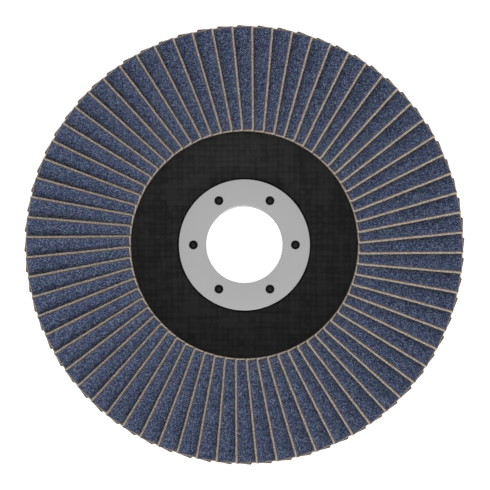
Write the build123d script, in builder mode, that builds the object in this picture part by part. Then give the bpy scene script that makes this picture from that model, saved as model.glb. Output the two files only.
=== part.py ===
from build123d import *
from math import asin, atan, cos, degrees, radians, sin, tan
import os

# Flap disc for an angle grinder, lying on its back with the flaps up.
# Frame: millimetres, +Z out of the working face, origin on the bore axis in
# the rear clamping plane. A flap that points along +Y shows its free long
# edge on the +X side and dips towards -X, under its neighbour.

# Arbor ring: an eyelet drawn and pierced from steel sheet.
bore_dia = 22.23
ring_gauge = 0.5
ring_dia = 38.2
lip_dia = 26.4
mouth_bevel = 0.3
peg_hole_dia = 2.5
peg_hole_circle_dia = 29.7
peg_hole_count = 6

# Backing plate: glass cloth and resin, hot pressed with a dished hub.
plate_dia = 115.0
plate_thickness = 3.0
hub_dia = 44.0
land_dia = 66.0
dish_depth = 3.0
dish_blend_radius = 12.0
peg_height = 0.3
peg_taper = 35.0

# Flaps: coated abrasive cloth, cut square, the coat broken back at the ends.
flap_count = 68
flap_inner_reach = 32.35
flap_outer_reach = 62.2
flap_width = 18.0
flap_thickness = 1.4
coat_thickness = 0.35
inner_coat_break = 0.4
outer_coat_break = 0.25
flap_edge_offset = 2.25
flap_clearance = 0.1
first_flap_angle = 0.4

# Resin bed that the lower long edges of the flaps are set in.
bed_inner_margin = 0.5
bed_outer_margin = 1.5
bed_height = 2.0
bed_film = 0.3

flaps_per_node = 2

flap_pitch = 360 / flap_count
collar_radius = bore_dia / 2 + ring_gauge
hub_face = plate_thickness
ring_face = hub_face + ring_gauge
land_face = hub_face + dish_depth
dish_angle = atan(2 * dish_depth / (land_dia - hub_dia))
bed_inner_radius = land_dia / 2 + bed_inner_margin
bed_outer_radius = plate_dia / 2 - bed_outer_margin

# The flaps lean just enough to clear each other where they crowd together,
# at their inner ends.
flap_lean = asin(
    (flap_thickness + flap_clearance) / (flap_inner_reach * sin(radians(flap_pitch)))
)
flap_crest = (
    land_face
    + bed_film
    + flap_thickness * cos(flap_lean)
    + flap_width * sin(flap_lean)
)
flap_edge_plane = Plane(
    origin=(flap_edge_offset, 0, flap_crest),
    x_dir=(0, 1, 0),
    z_dir=(cos(flap_lean), 0, sin(flap_lean)),
)


def make_arbor_ring():
    """Flange, collar and turned-out rear lip in one revolved sheet section."""
    with BuildPart() as ring:
        with BuildSketch(Plane.XZ) as section:
            with BuildLine():
                Polyline(
                    (bore_dia / 2, 0),
                    (lip_dia / 2, 0),
                    (lip_dia / 2, ring_gauge),
                    (collar_radius, ring_gauge),
                    (collar_radius, hub_face),
                    (ring_dia / 2, hub_face),
                    (ring_dia / 2, ring_face),
                    (bore_dia / 2, ring_face),
                    close=True,
                )
            make_face()
            chamfer(section.vertices().group_by(Axis.X)[0], mouth_bevel)
        revolve(axis=Axis.Z)
        with BuildSketch(Plane.XY.offset(ring_face)):
            with PolarLocations(peg_hole_circle_dia / 2, peg_hole_count):
                Circle(peg_hole_dia / 2)
        extrude(amount=-ring_gauge, mode=Mode.SUBTRACT)
    return ring


def make_backing_plate():
    """Dished plate of even thickness, let in at the back for the ring's lip."""
    rear_shift = plate_thickness * tan(dish_angle / 2)
    with BuildPart() as plate:
        with BuildSketch(Plane.XZ):
            with BuildLine():
                front = FilletPolyline(
                    (collar_radius, hub_face),
                    (hub_dia / 2, hub_face),
                    (land_dia / 2, land_face),
                    (plate_dia / 2, land_face),
                    radius=dish_blend_radius,
                )
                rear = FilletPolyline(
                    (collar_radius, 0),
                    (hub_dia / 2 + rear_shift, 0),
                    (land_dia / 2 + rear_shift, dish_depth),
                    (plate_dia / 2, dish_depth),
                    radius=dish_blend_radius,
                )
                Line(front @ 0, rear @ 0)
                Line(front @ 1, rear @ 1)
            make_face()
            with Locations((collar_radius, 0)):
                Rectangle(
                    lip_dia / 2 - collar_radius,
                    ring_gauge,
                    align=(Align.MIN, Align.MIN),
                    mode=Mode.SUBTRACT,
                )
        revolve(axis=Axis.Z)
        with BuildSketch(Plane.XY.offset(hub_face)):
            with PolarLocations(peg_hole_circle_dia / 2, peg_hole_count):
                Circle(peg_hole_dia / 2)
        extrude(amount=peg_height, taper=peg_taper)
    return plate


def make_flap():
    """One flap, drawn as its long side and given its width downhill."""
    with BuildPart() as flap:
        with BuildSketch(flap_edge_plane):
            with BuildLine():
                Polyline(
                    (flap_inner_reach, -flap_thickness),
                    (flap_outer_reach, -flap_thickness),
                    (flap_outer_reach, -coat_thickness),
                    (flap_outer_reach - outer_coat_break, 0),
                    (flap_inner_reach + inner_coat_break, 0),
                    (flap_inner_reach, -coat_thickness),
                    close=True,
                )
            make_face()
        extrude(amount=-flap_width)
    return flap


def make_resin_bed(flap):
    """Flat ring of resin, with the slots that the whole fan of flaps leaves."""
    with BuildPart() as bed:
        with BuildSketch(Plane.XY.offset(land_face)):
            Circle(bed_outer_radius)
            Circle(bed_inner_radius, mode=Mode.SUBTRACT)
        extrude(amount=bed_height)
        with PolarLocations(0, flap_count, start_angle=first_flap_angle):
            add(flap.part, mode=Mode.SUBTRACT)
    return bed


def make_flap_group(flap, first, count):
    """Neighbouring flaps of the fan, each a solid of its own."""
    with BuildPart() as group:
        with PolarLocations(
            0,
            count,
            start_angle=first_flap_angle + first * flap_pitch,
            angular_range=count * flap_pitch,
        ):
            add(flap.part)
    return group


def write(piece, name):
    piece.part.label = name
    export_step(piece.part, f"parts/{name}.step")


os.makedirs("parts", exist_ok=True)
flap = make_flap()
write(make_arbor_ring(), "arbor_ring")
write(make_backing_plate(), "backing_plate")
write(make_resin_bed(flap), "resin_bed")
for first in range(0, flap_count, flaps_per_node):
    count = min(flaps_per_node, flap_count - first)
    number = first // flaps_per_node + 1
    write(make_flap_group(flap, first, count), f"flap_pair_{number:02d}")

print("flap lean", round(degrees(flap_lean), 2), "crest", round(flap_crest, 2))
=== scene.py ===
import math

import bmesh
import bpy
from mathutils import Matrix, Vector


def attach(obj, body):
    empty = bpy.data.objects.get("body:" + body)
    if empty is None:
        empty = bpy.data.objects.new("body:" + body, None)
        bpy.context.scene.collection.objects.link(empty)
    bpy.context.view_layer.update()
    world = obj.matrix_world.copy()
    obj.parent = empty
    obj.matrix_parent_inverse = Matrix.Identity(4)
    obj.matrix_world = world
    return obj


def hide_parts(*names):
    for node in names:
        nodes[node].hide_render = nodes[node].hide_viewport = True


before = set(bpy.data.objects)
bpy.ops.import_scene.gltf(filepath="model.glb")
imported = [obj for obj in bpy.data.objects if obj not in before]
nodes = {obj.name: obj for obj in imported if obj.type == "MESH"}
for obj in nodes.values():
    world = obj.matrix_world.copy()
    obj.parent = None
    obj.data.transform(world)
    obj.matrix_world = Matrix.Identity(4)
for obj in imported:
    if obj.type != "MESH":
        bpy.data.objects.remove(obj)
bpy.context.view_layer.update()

# A flap disc lying on its back, flaps up. The fan of flaps, the steel ring and
# the glass plate are made here with their small forms and stand for their
# solids. The resin bed keeps its own mesh and only gets a material.
# Sizes are in millimetres, as in the part's source, and MM turns them to metres.
MM = 0.001

# Flaps: coated cloth, lapped round the axis.
FLAP_COUNT = 68
FLAP_INNER = 32.35
FLAP_OUTER = 62.2
FLAP_WIDTH = 18.0
FLAP_THICKNESS = 1.4
COAT = 0.35
EDGE_OFFSET = 2.25
FLAP_CLEARANCE = 0.1
FIRST_ANGLE = 0.4
BED_FILM = 0.3

# Where the coat is broken back from the cut edges: bare cloth, then a slope.
INNER_LEDGE = 0.36
INNER_SLOPE = 0.35
END_TRIM = 0.06
OUTER_LEDGE = 0.16
OUTER_SLOPE = 0.3
FRAY = 0.04
LONG_SLOPE = 0.2

# The flap's mesh is fine only where its grain shows beside the next flap.
SHOWN_WIDTH = 7.0
SHOWN_ROWS = 13
BURIED_WIDTH = 12.0
GRAIN_COLUMNS = 56

# How far the flaps stray from a perfect fan, each way.
SLIP = 0.04
TWIST_DEGREES = 0.05
WANDER = 0.09
WANDER_SIZE = 2.6
LUMP = 0.05
LUMP_SIZE = 0.45
SEED = 5

# Arbor ring: drawn steel sheet with a rounded mouth and a turned-out rear lip.
BORE_RADIUS = 11.115
GAUGE = 0.5
RING_RADIUS = 19.1
LIP_RADIUS = 13.2
MOUTH_ROUND = 0.35
RIM_ROUND = 0.15
HOLE_RADIUS = 1.25
HOLE_FLARE = 0.08
HOLE_CIRCLE_RADIUS = 14.85
HOLE_COUNT = 6
HOLE_SIDES = 32
MOUTH_STEPS = 6
RIM_STEPS = 4
RING_SIDES = 160
RING_SHARP_DEGREES = 25

# Backing plate: the dished laminate, with a fine groove round the ring's
# flange and a moulded peg up each hole.
PLATE_RADIUS = 57.5
PLATE_THICKNESS = 3.0
HUB_RADIUS = 22.0
LAND_RADIUS = 33.0
DISH_DEPTH = 3.0
DISH_BLEND = 12.0
DISH_BLEND_STEPS = 8
PLATE_EDGE_ROUND = 0.3
EDGE_STEPS = 5
PLATE_SIDES = 180
PLATE_SHARP_DEGREES = 35
GROOVE_DEPTH = 0.2
GROOVE_START = RING_RADIUS - 0.1
GROOVE_FLOOR = (RING_RADIUS + 0.05, RING_RADIUS + 0.17)
GROOVE_END = RING_RADIUS + 0.45
PEG_FOOT = 0.72
PEG_TOP = 0.52
PEG_HEIGHT = 0.26
PEG_CROWN = 0.04
PEG_SHOULDER = 0.03
PEG_SUNK = 0.05
PEG_SIDES = 24

# Patterns: the width of a grain and a lump of resin, and the pitch of the yarns.
# The glass yarns stray from square, and streaks of resin run along them.
GRAIN_SIZE = 0.22
BOND_LUMP = 0.9
CLOTH_YARN = 0.55
GLASS_YARN = 1.62
STRAY = 1.2
STRAY_SIZE = 9.0
STREAK_STRETCH = 0.22

# Painted warm light, lifting the shade in the crease beside each flap's neighbour:
# the colour it adds, how it warms the grain under it, and how far from the neighbour it thins
# away.
PAINTED_CREASE_LIGHT = (0.038, 0.023, 0.010, 1)
CREASE_LIGHT_TINT = (1.0, 0.95, 0.66, 1)
CREASE_LIGHT_REACH = 2.0

# What follows from these sizes. The flaps lean just enough to clear each other
# where they crowd together, at their inner ends.
COLLAR_RADIUS = BORE_RADIUS + GAUGE
RING_FACE = PLATE_THICKNESS + GAUGE
LAND_FACE = PLATE_THICKNESS + DISH_DEPTH
PITCH = math.radians(360 / FLAP_COUNT)
LEAN = math.asin((FLAP_THICKNESS + FLAP_CLEARANCE) / (FLAP_INNER * math.sin(PITCH)))
CREST = (
    LAND_FACE
    + BED_FILM
    + FLAP_THICKNESS * math.cos(LEAN)
    + FLAP_WIDTH * math.sin(LEAN)
)

# The camera looks down the axis from CAMERA_DISTANCE above the ring's face, where
# it takes in FRAME_WIDTH. The axis stands a shade left of and above the middle,
# in pixels of a frame IMAGE_PIXELS wide.
CAMERA_DISTANCE = 560.0
FRAME_WIDTH = 142.44
IMAGE_PIXELS = 490
CENTRE_LEFT_PX = 0.60
CENTRE_UP_PX = 0.11
SENSOR_WIDTH = 36.0


# ---------------------------------------------------------------- node helpers


def new_group(name, kind="ShaderNodeTree"):
    return bpy.data.node_groups.new(name, kind)


def socket(group, name, in_out, kind, value=None):
    """Adds a named input or output to a group, with its starting value."""
    made = group.interface.new_socket(name=name, in_out=in_out, socket_type=kind)
    if value is not None:
        made.default_value = value


def typed(sockets, kind):
    """The sockets of one kind, on a node that has several under one name."""
    return [each for each in sockets if each.type == kind]


def feed(tree, target, value):
    """Sets a socket to a value, or links it where the value is a socket."""
    if isinstance(value, bpy.types.NodeSocket):
        tree.links.new(value, target)
    else:
        target.default_value = value


def add(tree, kind, **settings):
    """Adds a node with its settings, and feeds the sockets named in inputs."""
    node = tree.nodes.new(kind)
    inputs = settings.pop("inputs", {})
    for key, value in settings.items():
        setattr(node, key, value)
    for key, value in inputs.items():
        feed(tree, node.inputs[key], value)
    return node


def maths(tree, operation, a, b=None):
    node = add(tree, "ShaderNodeMath", operation=operation)
    feed(tree, node.inputs[0], a)
    if b is not None:
        feed(tree, node.inputs[1], b)
    return node.outputs[0]


def vector_maths(tree, operation, a, b=None, scale=None):
    node = add(tree, "ShaderNodeVectorMath", operation=operation)
    feed(tree, node.inputs[0], a)
    if b is not None:
        feed(tree, node.inputs[1], b)
    if scale is not None:
        feed(tree, node.inputs["Scale"], scale)
    return node.outputs[0]


def use(tree, group, **inputs):
    """Places a node group. An underscore in a name stands for its space."""
    node = add(tree, "ShaderNodeGroup", node_tree=group)
    for name, value in inputs.items():
        feed(tree, node.inputs[name.replace("_", " ")], value)
    return node


def ramp(tree, fac, stops):
    """Turns a value into a colour by stops, each a place from 0 to 1 and a colour."""
    node = add(tree, "ShaderNodeValToRGB", inputs={"Fac": fac})
    elements = node.color_ramp.elements
    while len(elements) < len(stops):
        elements.new(0.5)
    for element, (place, colour) in zip(elements, stops):
        element.position = place
        element.color = (*colour, 1)
    return node.outputs["Color"]


def grey(level):
    return (level, level, level)


def mix(tree, kind, factor, a, b):
    node = add(tree, "ShaderNodeMix", data_type="RGBA", blend_type=kind)
    feed(tree, node.inputs["Factor"], factor)
    first, second = typed(node.inputs, "RGBA")
    feed(tree, first, a)
    feed(tree, second, b)
    return typed(node.outputs, "RGBA")[0]


def noise(tree, place, scale, **inputs):
    """A noise texture with scale lumps to each unit of place."""
    return add(
        tree, "ShaderNodeTexNoise", inputs={"Vector": place, "Scale": scale, **inputs}
    )


def object_place(tree):
    return add(tree, "ShaderNodeTexCoord").outputs["Object"]


# ---------------------------------------------------------------- shared effects


def make_grit_group():
    """Grains packed side by side: a shade and a tint to each, and a domed height."""
    group = new_group("grit")
    socket(group, "Vector", "INPUT", "NodeSocketVector")
    socket(group, "Grain Size", "INPUT", "NodeSocketFloat", GRAIN_SIZE * MM)
    for name in ("Shade", "Tint", "Height"):
        socket(group, name, "OUTPUT", "NodeSocketFloat")
    given = add(group, "NodeGroupInput")
    result = add(group, "NodeGroupOutput")
    scale = maths(group, "DIVIDE", 1.0, given.outputs["Grain Size"])
    cells = add(
        group,
        "ShaderNodeTexVoronoi",
        inputs={"Vector": given.outputs["Vector"], "Scale": scale},
    )
    parts = add(group, "ShaderNodeSeparateColor", inputs={"Color": cells.outputs["Color"]})
    feed(group, result.inputs["Shade"], parts.outputs["Red"])
    feed(group, result.inputs["Tint"], parts.outputs["Green"])
    dome = maths(group, "SUBTRACT", 1.0, cells.outputs["Distance"])
    lift = maths(group, "MULTIPLY", parts.outputs["Blue"], 0.6)
    feed(group, result.inputs["Height"], maths(group, "ADD", dome, lift))
    return group


def make_weave_group():
    """Plain weave, one over and one under: a height and a shade to each yarn."""
    group = new_group("plain_weave")
    socket(group, "Vector", "INPUT", "NodeSocketVector")
    socket(group, "Yarn Pitch", "INPUT", "NodeSocketFloat", 1.0)
    for name in ("Height", "Shade"):
        socket(group, name, "OUTPUT", "NodeSocketFloat")
    given = add(group, "NodeGroupInput")
    result = add(group, "NodeGroupOutput")
    parts = add(group, "ShaderNodeSeparateXYZ", inputs={"Vector": given.outputs["Vector"]})
    cells, swells, tones = [], [], []
    # Yarns are numbered from two starts, so that warp and weft differ in shade.
    for axis, number_from in (("X", 0.37), ("Y", 51.37)):
        turns = maths(group, "DIVIDE", parts.outputs[axis], given.outputs["Yarn Pitch"])
        cells.append(maths(group, "FLOOR", turns))
        wave = maths(group, "SINE", maths(group, "MULTIPLY", turns, math.pi))
        swells.append(maths(group, "ABSOLUTE", wave))
        label = maths(group, "ADD", cells[-1], number_from)
        tone = add(group, "ShaderNodeTexWhiteNoise", noise_dimensions="1D", inputs={"W": label})
        tones.append(tone.outputs["Value"])
    lower = maths(group, "FLOORED_MODULO", maths(group, "ADD", *cells), 2.0)
    upper = maths(group, "SUBTRACT", 1.0, lower)

    def choose(first, second):
        """The first value where its yarn lies on top, and else the second."""
        kept = maths(group, "MULTIPLY", first, upper)
        return maths(group, "ADD", kept, maths(group, "MULTIPLY", second, lower))

    def crown(across, down):
        """A yarn is round across and dips to half its height along."""
        dip = maths(group, "ADD", maths(group, "MULTIPLY", down, 0.5), 0.5)
        return maths(group, "MULTIPLY", across, dip)

    across, down = swells
    height = choose(crown(across, down), crown(down, across))
    feed(group, result.inputs["Height"], height)
    feed(group, result.inputs["Shade"], choose(*tones))
    return group


# ---------------------------------------------------------------- materials


def new_material(name, roughness, specular=0.5):
    """A material of one Principled shader, which is given back to be coloured."""
    material = bpy.data.materials.new(name)
    material.use_nodes = True
    tree = material.node_tree
    tree.nodes.clear()
    output = add(tree, "ShaderNodeOutputMaterial")
    surface = add(tree, "ShaderNodeBsdfPrincipled")
    surface.inputs["Roughness"].default_value = roughness
    surface.inputs["Specular IOR Level"].default_value = specular
    tree.links.new(surface.outputs["BSDF"], output.inputs["Surface"])
    return material, tree, surface


def emboss(tree, surface, height, strength, depth):
    """Bumps a surface by a height pattern, depth in millimetres."""
    bump = add(
        tree,
        "ShaderNodeBump",
        inputs={"Strength": strength, "Distance": depth * MM, "Height": height},
    )
    feed(tree, surface.inputs["Normal"], bump.outputs["Normal"])


def make_grain_coat(grit):
    """Blue grain, each with its own shade and tint, and painted warm light that lifts the shade
    in the crease.
    """
    material, tree, surface = new_material("grain_coat", roughness=0.7, specular=0.35)
    grains = use(tree, grit, Vector=object_place(tree), Grain_Size=GRAIN_SIZE * MM)
    shade = ramp(
        tree,
        grains.outputs["Shade"],
        [
            (0.0, (0.001, 0.002, 0.016)),
            (0.25, (0.0075, 0.0135, 0.050)),
            (0.55, (0.031, 0.046, 0.106)),
            (0.85, (0.098, 0.130, 0.215)),
            (1.0, (0.20, 0.24, 0.33)),
        ],
    )
    tint = ramp(
        tree,
        grains.outputs["Tint"],
        [(0.0, (1.18, 0.92, 1.10)), (0.5, grey(1.0)), (1.0, (0.78, 1.08, 0.94))],
    )
    colour = mix(tree, "MULTIPLY", 1.0, shade, tint)
    # Painted warm light: near the covering flap's edge the grain is warmed and lightened in
    # colour, lifting the shade of the crease.
    gap = add(tree, "ShaderNodeAttribute", attribute_name="cover_gap").outputs["Fac"]
    crease_light = ramp(
        tree,
        maths(tree, "DIVIDE", gap, CREASE_LIGHT_REACH),
        [(0.0, grey(1.0)), (0.25, grey(0.25)), (0.6, grey(0.0))],
    )
    colour = mix(tree, "MULTIPLY", crease_light, colour, CREASE_LIGHT_TINT)
    colour = mix(tree, "ADD", 1.0, colour, mix(tree, "MULTIPLY", 1.0, crease_light, PAINTED_CREASE_LIGHT))
    feed(tree, surface.inputs["Base Color"], colour)
    emboss(tree, surface, grains.outputs["Height"], strength=0.7, depth=0.12)
    return material


def make_coat_edge(grit):
    """The crumbled slope where the coat is broken back from a cut edge."""
    material, tree, surface = new_material("broken_coat_edge", roughness=0.8, specular=0.3)
    grains = use(tree, grit, Vector=object_place(tree), Grain_Size=GRAIN_SIZE * MM)
    shade = ramp(
        tree,
        grains.outputs["Shade"],
        [(0.0, (0.032, 0.026, 0.030)), (1.0, (0.132, 0.108, 0.112))],
    )
    feed(tree, surface.inputs["Base Color"], shade)
    return material


def make_cloth(weave):
    """Tan backing cloth, laid out on each face of the flap in millimetres."""
    material, tree, surface = new_material("backing_cloth", roughness=0.9, specular=0.2)
    where = add(tree, "ShaderNodeUVMap", uv_map="cloth_map").outputs["UV"]
    yarns = use(tree, weave, Vector=where, Yarn_Pitch=CLOTH_YARN)
    fuzz = noise(tree, where, 1.9, Detail=2.0, Roughness=0.6)
    stain = noise(tree, where, 1.1, Detail=1.0)
    shade = ramp(
        tree,
        fuzz.outputs["Fac"],
        [(0.33, (0.163, 0.142, 0.120)), (0.67, (0.690, 0.632, 0.560))],
    )
    # Painted shade: the cloth's colour is darkened where the yarns sink, in the hollows of the
    # weave.
    sunk = ramp(tree, yarns.outputs["Height"], [(0.0, (0.82, 0.80, 0.78)), (0.7, grey(1.0))])
    hue = ramp(
        tree, stain.outputs["Fac"], [(0.35, (1.11, 1.0, 0.86)), (0.65, (0.93, 0.99, 1.12))]
    )
    colour = mix(tree, "MULTIPLY", 1.0, shade, mix(tree, "MULTIPLY", 1.0, sunk, hue))
    feed(tree, surface.inputs["Base Color"], colour)
    emboss(tree, surface, yarns.outputs["Height"], strength=0.5, depth=0.15)
    return material


def make_cut_end():
    """The cut ends of the cloth, browned by the glue that soaks into them."""
    material, tree, surface = new_material("cut_cloth_end", roughness=0.9, specular=0.2)
    fuzz = noise(tree, object_place(tree), 1 / (0.5 * MM), Detail=2.0)
    shade = ramp(
        tree,
        fuzz.outputs["Fac"],
        [(0.3, (0.230, 0.165, 0.108)), (0.7, (0.500, 0.375, 0.265))],
    )
    feed(tree, surface.inputs["Base Color"], shade)
    return material


def make_laminate(weave):
    """Black resin over glass cloth whose yarns stray and print through in streaks."""
    material, tree, surface = new_material("glass_laminate", roughness=0.5, specular=0.19)
    where = object_place(tree)
    stray = noise(tree, where, 1 / (STRAY_SIZE * MM), Detail=1.0).outputs["Color"]
    stray = vector_maths(tree, "SUBTRACT", stray, grey(0.5))
    stray = vector_maths(tree, "SCALE", stray, scale=STRAY * MM)
    place = vector_maths(tree, "ADD", where, stray)
    yarns = use(tree, weave, Vector=place, Yarn_Pitch=GLASS_YARN * MM)
    streaks = []
    for stretch in ((STREAK_STRETCH, 1.0, 1.0), (1.0, STREAK_STRETCH, 1.0)):
        drawn_out = vector_maths(tree, "MULTIPLY", place, stretch)
        streak = noise(tree, drawn_out, 1 / (1.4 * GLASS_YARN * MM), Detail=1.0)
        streaks.append(streak.outputs["Fac"])
    # Streaks tell most, then the crowns of the yarns, then each yarn's own shade.
    streak = maths(tree, "MULTIPLY", maths(tree, "ADD", *streaks), 0.8)
    yarn = maths(tree, "MULTIPLY", yarns.outputs["Shade"], 0.28)
    crown = maths(tree, "MULTIPLY", yarns.outputs["Height"], 0.33)
    level = maths(tree, "ADD", streak, maths(tree, "ADD", yarn, crown))
    shade = ramp(
        tree,
        maths(tree, "MULTIPLY", level, 0.6),
        [(0.53, grey(0.0001)), (0.79, grey(0.0098))],
    )
    feed(tree, surface.inputs["Base Color"], shade)
    emboss(tree, surface, yarns.outputs["Height"], strength=0.45, depth=0.06)
    return material


def make_resin(name, colour, roughness, specular):
    """Plain moulded resin."""
    material, _, surface = new_material(name, roughness, specular)
    surface.inputs["Base Color"].default_value = (*colour, 1)
    return material


def make_steel():
    """Satin sheet steel."""
    material, _, surface = new_material("satin_steel", roughness=0.35)
    surface.inputs["Base Color"].default_value = (0.463, 0.456, 0.457, 1)
    surface.inputs["Metallic"].default_value = 1.0
    return material


def make_bond(grit):
    """Lumpy brown resin of the bed."""
    material, tree, surface = new_material("bond_resin", roughness=0.45)
    lumps = use(tree, grit, Vector=object_place(tree), Grain_Size=BOND_LUMP * MM)
    shade = ramp(
        tree,
        lumps.outputs["Shade"],
        [(0.0, (0.030, 0.020, 0.014)), (1.0, (0.062, 0.044, 0.032))],
    )
    feed(tree, surface.inputs["Base Color"], shade)
    return material


# ---------------------------------------------------------------- mesh helpers


def put_in_scene(name, data):
    """Puts a mesh, lamp or camera into the scene."""
    made = bpy.data.objects.new(name, data)
    bpy.context.scene.collection.objects.link(made)
    return made


def keep_mesh(name, bm):
    mesh = bpy.data.meshes.new(name)
    bm.to_mesh(mesh)
    bm.free()
    return mesh


def evaluated_mesh(carrier):
    """The plain mesh that an object's modifiers make of it."""
    depsgraph = bpy.context.evaluated_depsgraph_get()
    evaluated = carrier.evaluated_get(depsgraph)
    return bpy.data.meshes.new_from_object(evaluated, depsgraph=depsgraph)


def write_attribute(mesh, name, kind, domain, values):
    attribute = mesh.attributes.new(name, kind, domain)
    attribute.data.foreach_set("value", values)


def spread(start, end, count):
    """Evenly spaced values from start to end, with count steps between them."""
    return [start + (end - start) * i / count for i in range(count + 1)]


def arc(centre, radius, start, end, steps):
    """Points of an arc in the radius and height plane, angles in degrees."""
    return [
        (
            centre[0] + radius * math.cos(math.radians(angle)),
            centre[1] + radius * math.sin(math.radians(angle)),
        )
        for angle in spread(start, end, steps)
    ]


def blend(points, radius, steps):
    """A polyline with each inner corner rounded by a tangent arc."""
    rounded = [points[0]]
    for before, here, after in zip(points, points[1:], points[2:]):
        corner = Vector(here)
        back = (Vector(before) - corner).normalized()
        on = (Vector(after) - corner).normalized()
        half = back.angle(on) / 2
        reach = radius / math.tan(half)
        centre = corner + (back + on).normalized() * radius / math.sin(half)
        start = corner + back * reach - centre
        end = corner + on * reach - centre
        whole = start.angle(end)
        for k in range(steps + 1):
            share = k / steps
            spoke = start * math.sin((1 - share) * whole) + end * math.sin(share * whole)
            rounded.append(tuple(centre + spoke / math.sin(whole)))
    return rounded + [points[-1]]


def circle(bm, centre, radius, height, sides):
    """Points round an upright axis that stands at centre. Millimetres."""
    points = []
    for k in range(sides):
        angle = 2 * math.pi * k / sides
        across = centre[0] + radius * math.cos(angle)
        along = centre[1] + radius * math.sin(angle)
        points.append(bm.verts.new(Vector((across, along, height)) * MM))
    return points


def wall(bm, lower, upper):
    """Faces between two closed rows of points."""
    faces = []
    for k in range(len(lower)):
        m = (k + 1) % len(lower)
        faces.append(bm.faces.new((lower[k], lower[m], upper[m], upper[k])))
    return faces


def turn_profile(name, profile, sides):
    """A closed solid of revolution from a closed profile off the axis."""
    bm = bmesh.new()
    hoops = [circle(bm, (0, 0), radius, height, sides) for radius, height in profile]
    for lower, upper in zip(hoops, hoops[1:] + hoops[:1]):
        wall(bm, lower, upper)
    bmesh.ops.recalc_face_normals(bm, faces=bm.faces)
    return put_in_scene(name, keep_mesh(name, bm))


# ---------------------------------------------------------------- flap fan

# What a face of the flap shows. The fan's tree has a material to each.
CLOTH, GRAIN, COAT_EDGE, CUT_END = range(4)
SURFACE_NAMES = ("Cloth", "Grain", "Coat Edge", "Cut End")


def flap_point(downhill, reach, lift):
    """A point of the flap that points along +Y, in metres: how far downhill from
    its free long edge, how far out from the axis, how far above the grain face."""
    return Vector(
        (
            (EDGE_OFFSET - downhill * math.cos(LEAN) - lift * math.sin(LEAN)) * MM,
            reach * MM,
            (CREST - downhill * math.sin(LEAN) + lift * math.cos(LEAN)) * MM,
        )
    )


def flap_lines():
    """The places of the flap's mesh lines, downhill and along the reach."""
    inner = FLAP_INNER + INNER_LEDGE
    outer = FLAP_OUTER + FRAY - OUTER_LEDGE
    shown = spread(LONG_SLOPE, SHOWN_WIDTH, SHOWN_ROWS)
    grain = spread(inner + INNER_SLOPE, outer - OUTER_SLOPE, GRAIN_COLUMNS)
    across = [0.0] + shown + [BURIED_WIDTH, FLAP_WIDTH]
    along = [FLAP_INNER + END_TRIM, inner] + grain + [outer, FLAP_OUTER + FRAY]
    return across, along


def lay_flap(bm):
    """Lays one closed flap. Gives each point's place on the flap, as flap_point
    takes it, and the mark of each face that isn't plain cloth."""
    across, along = flap_lines()
    rows, columns = len(across), len(along)
    layout, marks = {}, {}

    def corner(i, j, lift):
        place = (across[i], along[j], lift)
        vert = bm.verts.new(flap_point(*place))
        layout[vert] = place
        return vert

    def depth(i, j):
        """Bare cloth, a coat's thickness down, along the cut edges."""
        return -COAT if i == 0 or j < 2 or j > columns - 3 else 0.0

    top = [[corner(i, j, depth(i, j)) for j in range(columns)] for i in range(rows)]
    for i in range(rows - 1):
        for j in range(columns - 1):
            ring = (top[i][j], top[i + 1][j], top[i + 1][j + 1], top[i][j + 1])
            lifts = {layout[vert][2] for vert in ring}
            face = bm.faces.new(ring)
            if len(lifts) > 1:
                marks[face] = COAT_EDGE
            elif lifts == {0.0}:
                marks[face] = GRAIN

    rim = (
        [(i, 0) for i in range(rows)]
        + [(rows - 1, j) for j in range(1, columns)]
        + [(i, columns - 1) for i in range(rows - 2, -1, -1)]
        + [(0, j) for j in range(columns - 2, 0, -1)]
    )
    upper = [top[i][j] for i, j in rim]
    for level in (-0.5 * (COAT + FLAP_THICKNESS), -FLAP_THICKNESS):
        lower = [corner(i, j, level) for i, j in rim]
        for k, face in enumerate(wall(bm, upper, lower)):
            here, there = rim[k][1], rim[(k + 1) % len(rim)][1]
            if here == there and here in (0, columns - 1):
                marks[face] = CUT_END
        upper = lower
    bm.faces.new(upper)
    return layout, marks


def map_cloth(bm, layout):
    """Lays the cloth out on each face by the two measures that vary over it."""
    sheet = bm.loops.layers.uv.new("cloth_map")
    for face in bm.faces:
        on_long_side = len({layout[vert][0] for vert in face.verts}) == 1
        on_end = len({layout[vert][1] for vert in face.verts}) == 1
        for loop in face.loops:
            downhill, reach, lift = layout[loop.vert]
            if on_long_side:
                loop[sheet].uv = (reach, lift)
            elif on_end:
                loop[sheet].uv = (downhill, lift)
            else:
                loop[sheet].uv = (reach, downhill)


def cover_gap(spot):
    """How far a point lies in plan from the edge of the flap that covers it, mm."""
    cover_edge = EDGE_OFFSET + FLAP_THICKNESS * math.sin(LEAN)
    return (spot.x * math.cos(PITCH) + spot.y * math.sin(PITCH)) / MM - cover_edge


def make_flap_template():
    """One closed flap, marked with what its faces show and how far each point lies from the
    flap that covers it, for the painted light in the crease.
    """
    bm = bmesh.new()
    layout, marks = lay_flap(bm)
    bmesh.ops.recalc_face_normals(bm, faces=bm.faces)
    map_cloth(bm, layout)
    surfaces = [marks.get(face, CLOTH) for face in bm.faces]
    gaps = [cover_gap(vert.co) for vert in bm.verts]
    mesh = keep_mesh("flap_template", bm)
    write_attribute(mesh, "surface", "INT", "FACE", surfaces)
    write_attribute(mesh, "cover_gap", "FLOAT", "POINT", gaps)
    return mesh


def chance(tree, given, each_way, stream):
    """One random number to a flap, as far as the input named each_way on either
    side of nought. Each use takes a stream of its own."""
    node = add(tree, "FunctionNodeRandomValue", data_type="FLOAT")
    low, high = typed(node.inputs, "VALUE")[:2]
    feed(tree, low, maths(tree, "MULTIPLY", given.outputs[each_way], -1.0))
    feed(tree, high, given.outputs[each_way])
    feed(tree, node.inputs["ID"], add(tree, "GeometryNodeInputIndex").outputs["Index"])
    feed(tree, node.inputs["Seed"], maths(tree, "ADD", given.outputs["Seed"], stream))
    return typed(node.outputs, "VALUE")[0]


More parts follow.
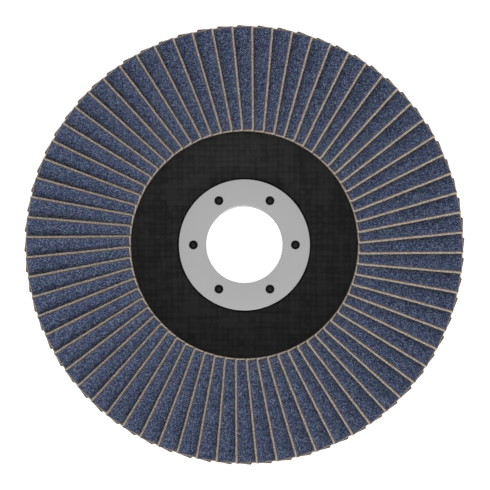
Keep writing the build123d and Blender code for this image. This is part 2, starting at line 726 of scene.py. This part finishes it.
def stand_flaps(tree, given):
    """Copies of the flap round the axis, each a little turned and slid along its
    reach."""
    points = add(tree, "GeometryNodePoints", inputs={"Count": given.outputs["Flaps"]})
    index = add(tree, "GeometryNodeInputIndex").outputs["Index"]
    turn = maths(tree, "MULTIPLY", index, 2 * math.pi)
    turn = maths(tree, "DIVIDE", turn, given.outputs["Flaps"])
    turn = maths(tree, "ADD", turn, given.outputs["First Angle"])
    turn = maths(tree, "ADD", turn, chance(tree, given, "Twist", 1))
    turned = add(tree, "ShaderNodeCombineXYZ", inputs={"Z": turn})
    placed = add(
        tree,
        "GeometryNodeInstanceOnPoints",
        inputs={
            "Points": points.outputs["Points"],
            "Instance": given.outputs["Geometry"],
            "Rotation": turned.outputs["Vector"],
        },
    )
    slid = add(tree, "ShaderNodeCombineXYZ", inputs={"Y": chance(tree, given, "Slip", 2)})
    moved = add(
        tree,
        "GeometryNodeTranslateInstances",
        inputs={
            "Instances": placed.outputs["Instances"],
            "Translation": slid.outputs["Vector"],
            "Local Space": True,
        },
    )
    real = add(
        tree,
        "GeometryNodeRealizeInstances",
        inputs={"Geometry": moved.outputs["Instances"]},
    )
    return real.outputs["Geometry"]


def space_noise(tree, given, size, detail):
    """A noise through space that the seed changes, from nought to one."""
    return add(
        tree,
        "ShaderNodeTexNoise",
        noise_dimensions="4D",
        inputs={
            "Vector": add(tree, "GeometryNodeInputPosition").outputs["Position"],
            "W": given.outputs["Seed"],
            "Scale": maths(tree, "DIVIDE", 1.0, size),
            "Detail": detail,
        },
    )


def ruffle(tree, given, geometry):
    """Lets the cloth wander, a shade downwards on the whole, and the grain stand
    unevenly, more often sunk than proud."""
    drift = space_noise(tree, given, given.outputs["Wander Size"], 1.0).outputs["Color"]
    drift = vector_maths(tree, "SUBTRACT", drift, (0.5, 0.5, 0.55))
    double = maths(tree, "MULTIPLY", given.outputs["Wander"], 2.0)
    drift = vector_maths(tree, "SCALE", drift, scale=double)
    lumps = space_noise(tree, given, given.outputs["Lump Size"], 0.0).outputs["Fac"]
    lumps = maths(tree, "MULTIPLY", maths(tree, "SUBTRACT", lumps, 0.6), 2.0)
    lumps = maths(tree, "MULTIPLY", lumps, given.outputs["Grain Unevenness"])
    normal = add(tree, "GeometryNodeInputNormal").outputs["Normal"]
    lift = vector_maths(tree, "SCALE", normal, scale=lumps)
    shaped = add(
        tree,
        "GeometryNodeSetPosition",
        inputs={"Geometry": geometry, "Offset": vector_maths(tree, "ADD", drift, lift)},
    )
    return shaped.outputs["Geometry"]


def dress(tree, given, geometry):
    """Gives each marked face the material that its mark stands for."""
    surface = add(
        tree, "GeometryNodeInputNamedAttribute", data_type="INT", inputs={"Name": "surface"}
    )
    for mark, name in enumerate(SURFACE_NAMES):
        chosen = add(tree, "FunctionNodeCompare", data_type="INT", operation="EQUAL")
        first, second = typed(chosen.inputs, "INT")
        feed(tree, first, surface.outputs["Attribute"])
        feed(tree, second, mark)
        dressed = add(
            tree,
            "GeometryNodeSetMaterial",
            inputs={
                "Geometry": geometry,
                "Selection": chosen.outputs["Result"],
                "Material": given.outputs[name],
            },
        )
        geometry = dressed.outputs["Geometry"]
    return geometry


def make_fan_tree():
    """Stands copies of one flap round the axis, ruffles them and dresses them."""
    tree = new_group("flap_fan", "GeometryNodeTree")
    socket(tree, "Geometry", "INPUT", "NodeSocketGeometry")
    socket(tree, "Flaps", "INPUT", "NodeSocketInt", FLAP_COUNT)
    socket(tree, "First Angle", "INPUT", "NodeSocketFloat", math.radians(FIRST_ANGLE))
    socket(tree, "Slip", "INPUT", "NodeSocketFloat", SLIP * MM)
    socket(tree, "Twist", "INPUT", "NodeSocketFloat", math.radians(TWIST_DEGREES))
    socket(tree, "Wander", "INPUT", "NodeSocketFloat", WANDER * MM)
    socket(tree, "Wander Size", "INPUT", "NodeSocketFloat", WANDER_SIZE * MM)
    socket(tree, "Grain Unevenness", "INPUT", "NodeSocketFloat", LUMP * MM)
    socket(tree, "Lump Size", "INPUT", "NodeSocketFloat", LUMP_SIZE * MM)
    socket(tree, "Seed", "INPUT", "NodeSocketInt", SEED)
    for name in SURFACE_NAMES:
        socket(tree, name, "INPUT", "NodeSocketMaterial")
    socket(tree, "Geometry", "OUTPUT", "NodeSocketGeometry")
    given = add(tree, "NodeGroupInput")
    result = add(tree, "NodeGroupOutput")
    geometry = stand_flaps(tree, given)
    geometry = ruffle(tree, given, geometry)
    geometry = dress(tree, given, geometry)
    feed(tree, result.inputs["Geometry"], geometry)
    return tree


def grow(template, tree, name, inputs):
    """Runs a Geometry Nodes tree on a template mesh and keeps the plain mesh."""
    carrier = put_in_scene(name + "_carrier", template)
    modifier = carrier.modifiers.new("grow", "NODES")
    modifier.node_group = tree
    for item in tree.interface.items_tree:
        if item.item_type == "SOCKET" and item.in_out == "INPUT" and item.name in inputs:
            modifier[item.identifier] = inputs[item.name]
    mesh = evaluated_mesh(carrier)
    bpy.data.objects.remove(carrier)
    return put_in_scene(name, mesh)


# ---------------------------------------------------------------- ring and plate


def hole_centres():
    """Where the ring's holes and the plate's pegs stand round the axis."""
    turns = [2 * math.pi * k / HOLE_COUNT for k in range(HOLE_COUNT)]
    return [
        (HOLE_CIRCLE_RADIUS * math.cos(turn), HOLE_CIRCLE_RADIUS * math.sin(turn))
        for turn in turns
    ]


def plate_profile():
    """Section of the dished laminate: the seat under the ring's flange, the
    groove round it, the front, the rim, the back, and the seat of the lip."""
    slope = math.atan(DISH_DEPTH / (LAND_RADIUS - HUB_RADIUS))
    behind = PLATE_THICKNESS * math.tan(slope / 2)
    rim = PLATE_RADIUS - PLATE_EDGE_ROUND
    front_centre = (rim, LAND_FACE - PLATE_EDGE_ROUND)
    rear_centre = (rim, DISH_DEPTH + PLATE_EDGE_ROUND)
    front = [
        (GROOVE_END, PLATE_THICKNESS),
        (HUB_RADIUS, PLATE_THICKNESS),
        (LAND_RADIUS, LAND_FACE),
        (rim, LAND_FACE),
    ]
    rear = [
        (rim, DISH_DEPTH),
        (LAND_RADIUS + behind, DISH_DEPTH),
        (HUB_RADIUS + behind, 0.0),
        (LIP_RADIUS, 0.0),
    ]
    return (
        [(COLLAR_RADIUS, PLATE_THICKNESS), (GROOVE_START, PLATE_THICKNESS)]
        + [(radius, PLATE_THICKNESS - GROOVE_DEPTH) for radius in GROOVE_FLOOR]
        + blend(front, DISH_BLEND, DISH_BLEND_STEPS)
        + arc(front_centre, PLATE_EDGE_ROUND, 90, 0, EDGE_STEPS)[1:]
        + arc(rear_centre, PLATE_EDGE_ROUND, 0, -90, EDGE_STEPS)[:-1]
        + blend(rear, DISH_BLEND, DISH_BLEND_STEPS)
        + [(LIP_RADIUS, GAUGE), (COLLAR_RADIUS, GAUGE)]
    )


def add_peg(bm, centre):
    """One moulded peg with a low crown, its foot just inside the plate."""
    peg_face = PLATE_THICKNESS + PEG_HEIGHT
    outline = [
        (PEG_FOOT, PLATE_THICKNESS - PEG_SUNK),
        (PEG_FOOT, PLATE_THICKNESS),
        (PEG_TOP, peg_face - PEG_SHOULDER),
        (0.7 * PEG_TOP, peg_face + 0.5 * PEG_CROWN),
    ]
    hoops = [circle(bm, centre, radius, height, PEG_SIDES) for radius, height in outline]
    top = bm.verts.new(Vector((*centre, peg_face + PEG_CROWN)) * MM)
    faces = [bm.faces.new(list(reversed(hoops[0])))]
    for lower, upper in zip(hoops, hoops[1:]):
        faces += wall(bm, lower, upper)
    for k in range(PEG_SIDES):
        faces.append(bm.faces.new((hoops[-1][k], hoops[-1][(k + 1) % PEG_SIDES], top)))
    return faces


def make_plate():
    """The plate with its pegs. Material 0 is laminate, 1 the pegs' resin and 2
    the matt seat under and round the ring."""
    plate = turn_profile("glass_plate", plate_profile(), PLATE_SIDES)
    bm = bmesh.new()
    bm.from_mesh(plate.data)
    for face in bm.faces:
        centre = face.calc_center_median() / MM
        if centre.xy.length < RING_RADIUS and centre.z > PLATE_THICKNESS - GROOVE_DEPTH:
            face.material_index = 2
    for centre in hole_centres():
        for face in add_peg(bm, centre):
            face.material_index = 1
    bm.to_mesh(plate.data)
    bm.free()
    plate.data.shade_smooth()
    plate.data.set_sharp_from_angle(angle=math.radians(PLATE_SHARP_DEGREES))
    return plate


def make_hole_cutter():
    """Pins with flared tops, which leave the pierced holes with broken edges."""
    outline = [
        (HOLE_RADIUS, RING_FACE - 2 * GAUGE),
        (HOLE_RADIUS, RING_FACE - HOLE_FLARE),
        (HOLE_RADIUS + 2 * HOLE_FLARE, RING_FACE + HOLE_FLARE),
    ]
    bm = bmesh.new()
    for centre in hole_centres():
        hoops = [circle(bm, centre, radius, height, HOLE_SIDES) for radius, height in outline]
        for lower, upper in zip(hoops, hoops[1:]):
            wall(bm, lower, upper)
        bm.faces.new(hoops[0])
        bm.faces.new(hoops[-1])
    bmesh.ops.recalc_face_normals(bm, faces=bm.faces)
    return put_in_scene("hole_cutter", keep_mesh("hole_cutter", bm))


def make_ring():
    """Flange with a rounded mouth and rim, collar, and lip turned out behind."""
    mouth = BORE_RADIUS + MOUTH_ROUND
    rim = RING_RADIUS - RIM_ROUND
    profile = (
        arc((mouth, MOUTH_ROUND), MOUTH_ROUND, 270, 180, MOUTH_STEPS)
        + arc((mouth, RING_FACE - MOUTH_ROUND), MOUTH_ROUND, 180, 90, MOUTH_STEPS)
        + arc((rim, RING_FACE - RIM_ROUND), RIM_ROUND, 90, 0, RIM_STEPS)
        + [
            (RING_RADIUS, PLATE_THICKNESS),
            (COLLAR_RADIUS, PLATE_THICKNESS),
            (COLLAR_RADIUS, GAUGE),
            (LIP_RADIUS, GAUGE),
            (LIP_RADIUS, 0.0),
        ]
    )
    ring = turn_profile("steel_ring", profile, RING_SIDES)
    cutter = make_hole_cutter()
    cut = ring.modifiers.new("holes", "BOOLEAN")
    cut.operation = "DIFFERENCE"
    cut.solver = "EXACT"
    cut.object = cutter
    pierced = evaluated_mesh(ring)
    ring.modifiers.clear()
    ring.data = pierced
    bpy.data.objects.remove(cutter)
    pierced.shade_smooth()
    pierced.set_sharp_from_angle(angle=math.radians(RING_SHARP_DEGREES))
    return ring


# ---------------------------------------------------------------- dressing

grit = make_grit_group()
weave = make_weave_group()

fan = grow(
    make_flap_template(),
    make_fan_tree(),
    "flap_fan",
    {
        "Cloth": make_cloth(weave),
        "Grain": make_grain_coat(grit),
        "Coat Edge": make_coat_edge(grit),
        "Cut End": make_cut_end(),
    },
)
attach(fan, "root")
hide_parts(*[name for name in nodes if name.startswith("flap_pair_")])

ring = make_ring()
ring.data.materials.clear()
ring.data.materials.append(make_steel())
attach(ring, "root")
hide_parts("arbor_ring")

plate = make_plate()
plate.data.materials.append(make_laminate(weave))
plate.data.materials.append(make_resin("peg_resin", (0.008, 0.007, 0.007), 0.45, 0.25))
plate.data.materials.append(make_resin("matt_seat", grey(0.007), 0.9, 0.15))
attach(plate, "root")
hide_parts("backing_plate")

nodes["resin_bed"].data.materials.clear()
nodes["resin_bed"].data.materials.append(make_bond(grit))


# ---------------------------------------------------------------- studio


def make_floor():
    """Paper that keeps the disc's shadow and shows white to the camera and in steel."""
    bpy.ops.mesh.primitive_plane_add(size=6)
    floor = bpy.context.object
    floor.name = "floor"
    material, tree, surface = new_material("floor_paper", roughness=0.9)
    surface.inputs["Base Color"].default_value = (0.85, 0.85, 0.85, 1)
    path = add(tree, "ShaderNodeLightPath")
    seen = maths(tree, "MAXIMUM", path.outputs["Is Camera Ray"], path.outputs["Is Glossy Ray"])
    glow = add(
        tree,
        "ShaderNodeEmission",
        inputs={"Color": (1, 1, 1, 1), "Strength": maths(tree, "MULTIPLY", seen, 0.6)},
    )
    both = add(tree, "ShaderNodeAddShader")
    output = surface.outputs["BSDF"].links[0].to_node
    tree.links.new(surface.outputs["BSDF"], both.inputs[0])
    tree.links.new(glow.outputs["Emission"], both.inputs[1])
    tree.links.new(both.outputs["Shader"], output.inputs["Surface"])
    floor.data.materials.append(material)


def make_lamp(name, place, size, power):
    """A round area lamp that shines at the disc, its place and size in metres."""
    data = bpy.data.lights.new(name, "AREA")
    data.shape = "DISK"
    data.size = size
    data.energy = power
    lamp = put_in_scene(name, data)
    lamp.location = place
    lamp.rotation_euler = (-Vector(place)).to_track_quat("-Z", "Y").to_euler()


def make_world():
    """Even light from all round, lifted to full white where the camera sees it."""
    world = bpy.data.worlds.new("studio")
    bpy.context.scene.world = world
    world.use_nodes = True
    tree = world.node_tree
    background = tree.nodes["Background"]
    background.inputs["Color"].default_value = (1, 1, 1, 1)
    path = add(tree, "ShaderNodeLightPath")
    lift = maths(tree, "MULTIPLY", path.outputs["Is Camera Ray"], 0.1)
    feed(tree, background.inputs["Strength"], maths(tree, "ADD", lift, 0.9))


def make_camera():
    """A camera on the disc's axis."""
    data = bpy.data.cameras.new("camera")
    data.sensor_width = SENSOR_WIDTH
    data.lens = SENSOR_WIDTH * CAMERA_DISTANCE / FRAME_WIDTH
    data.shift_x = CENTRE_LEFT_PX / IMAGE_PIXELS
    data.shift_y = -CENTRE_UP_PX / IMAGE_PIXELS
    camera = put_in_scene("camera", data)
    camera.location = (0, 0, (RING_FACE + CAMERA_DISTANCE) * MM)
    bpy.context.scene.camera = camera


make_floor()
make_world()
make_lamp("key", place=(0.17, -1.07, 1.04), size=0.7, power=6.0)
make_camera()
bpy.context.scene.view_settings.view_transform = "Standard"
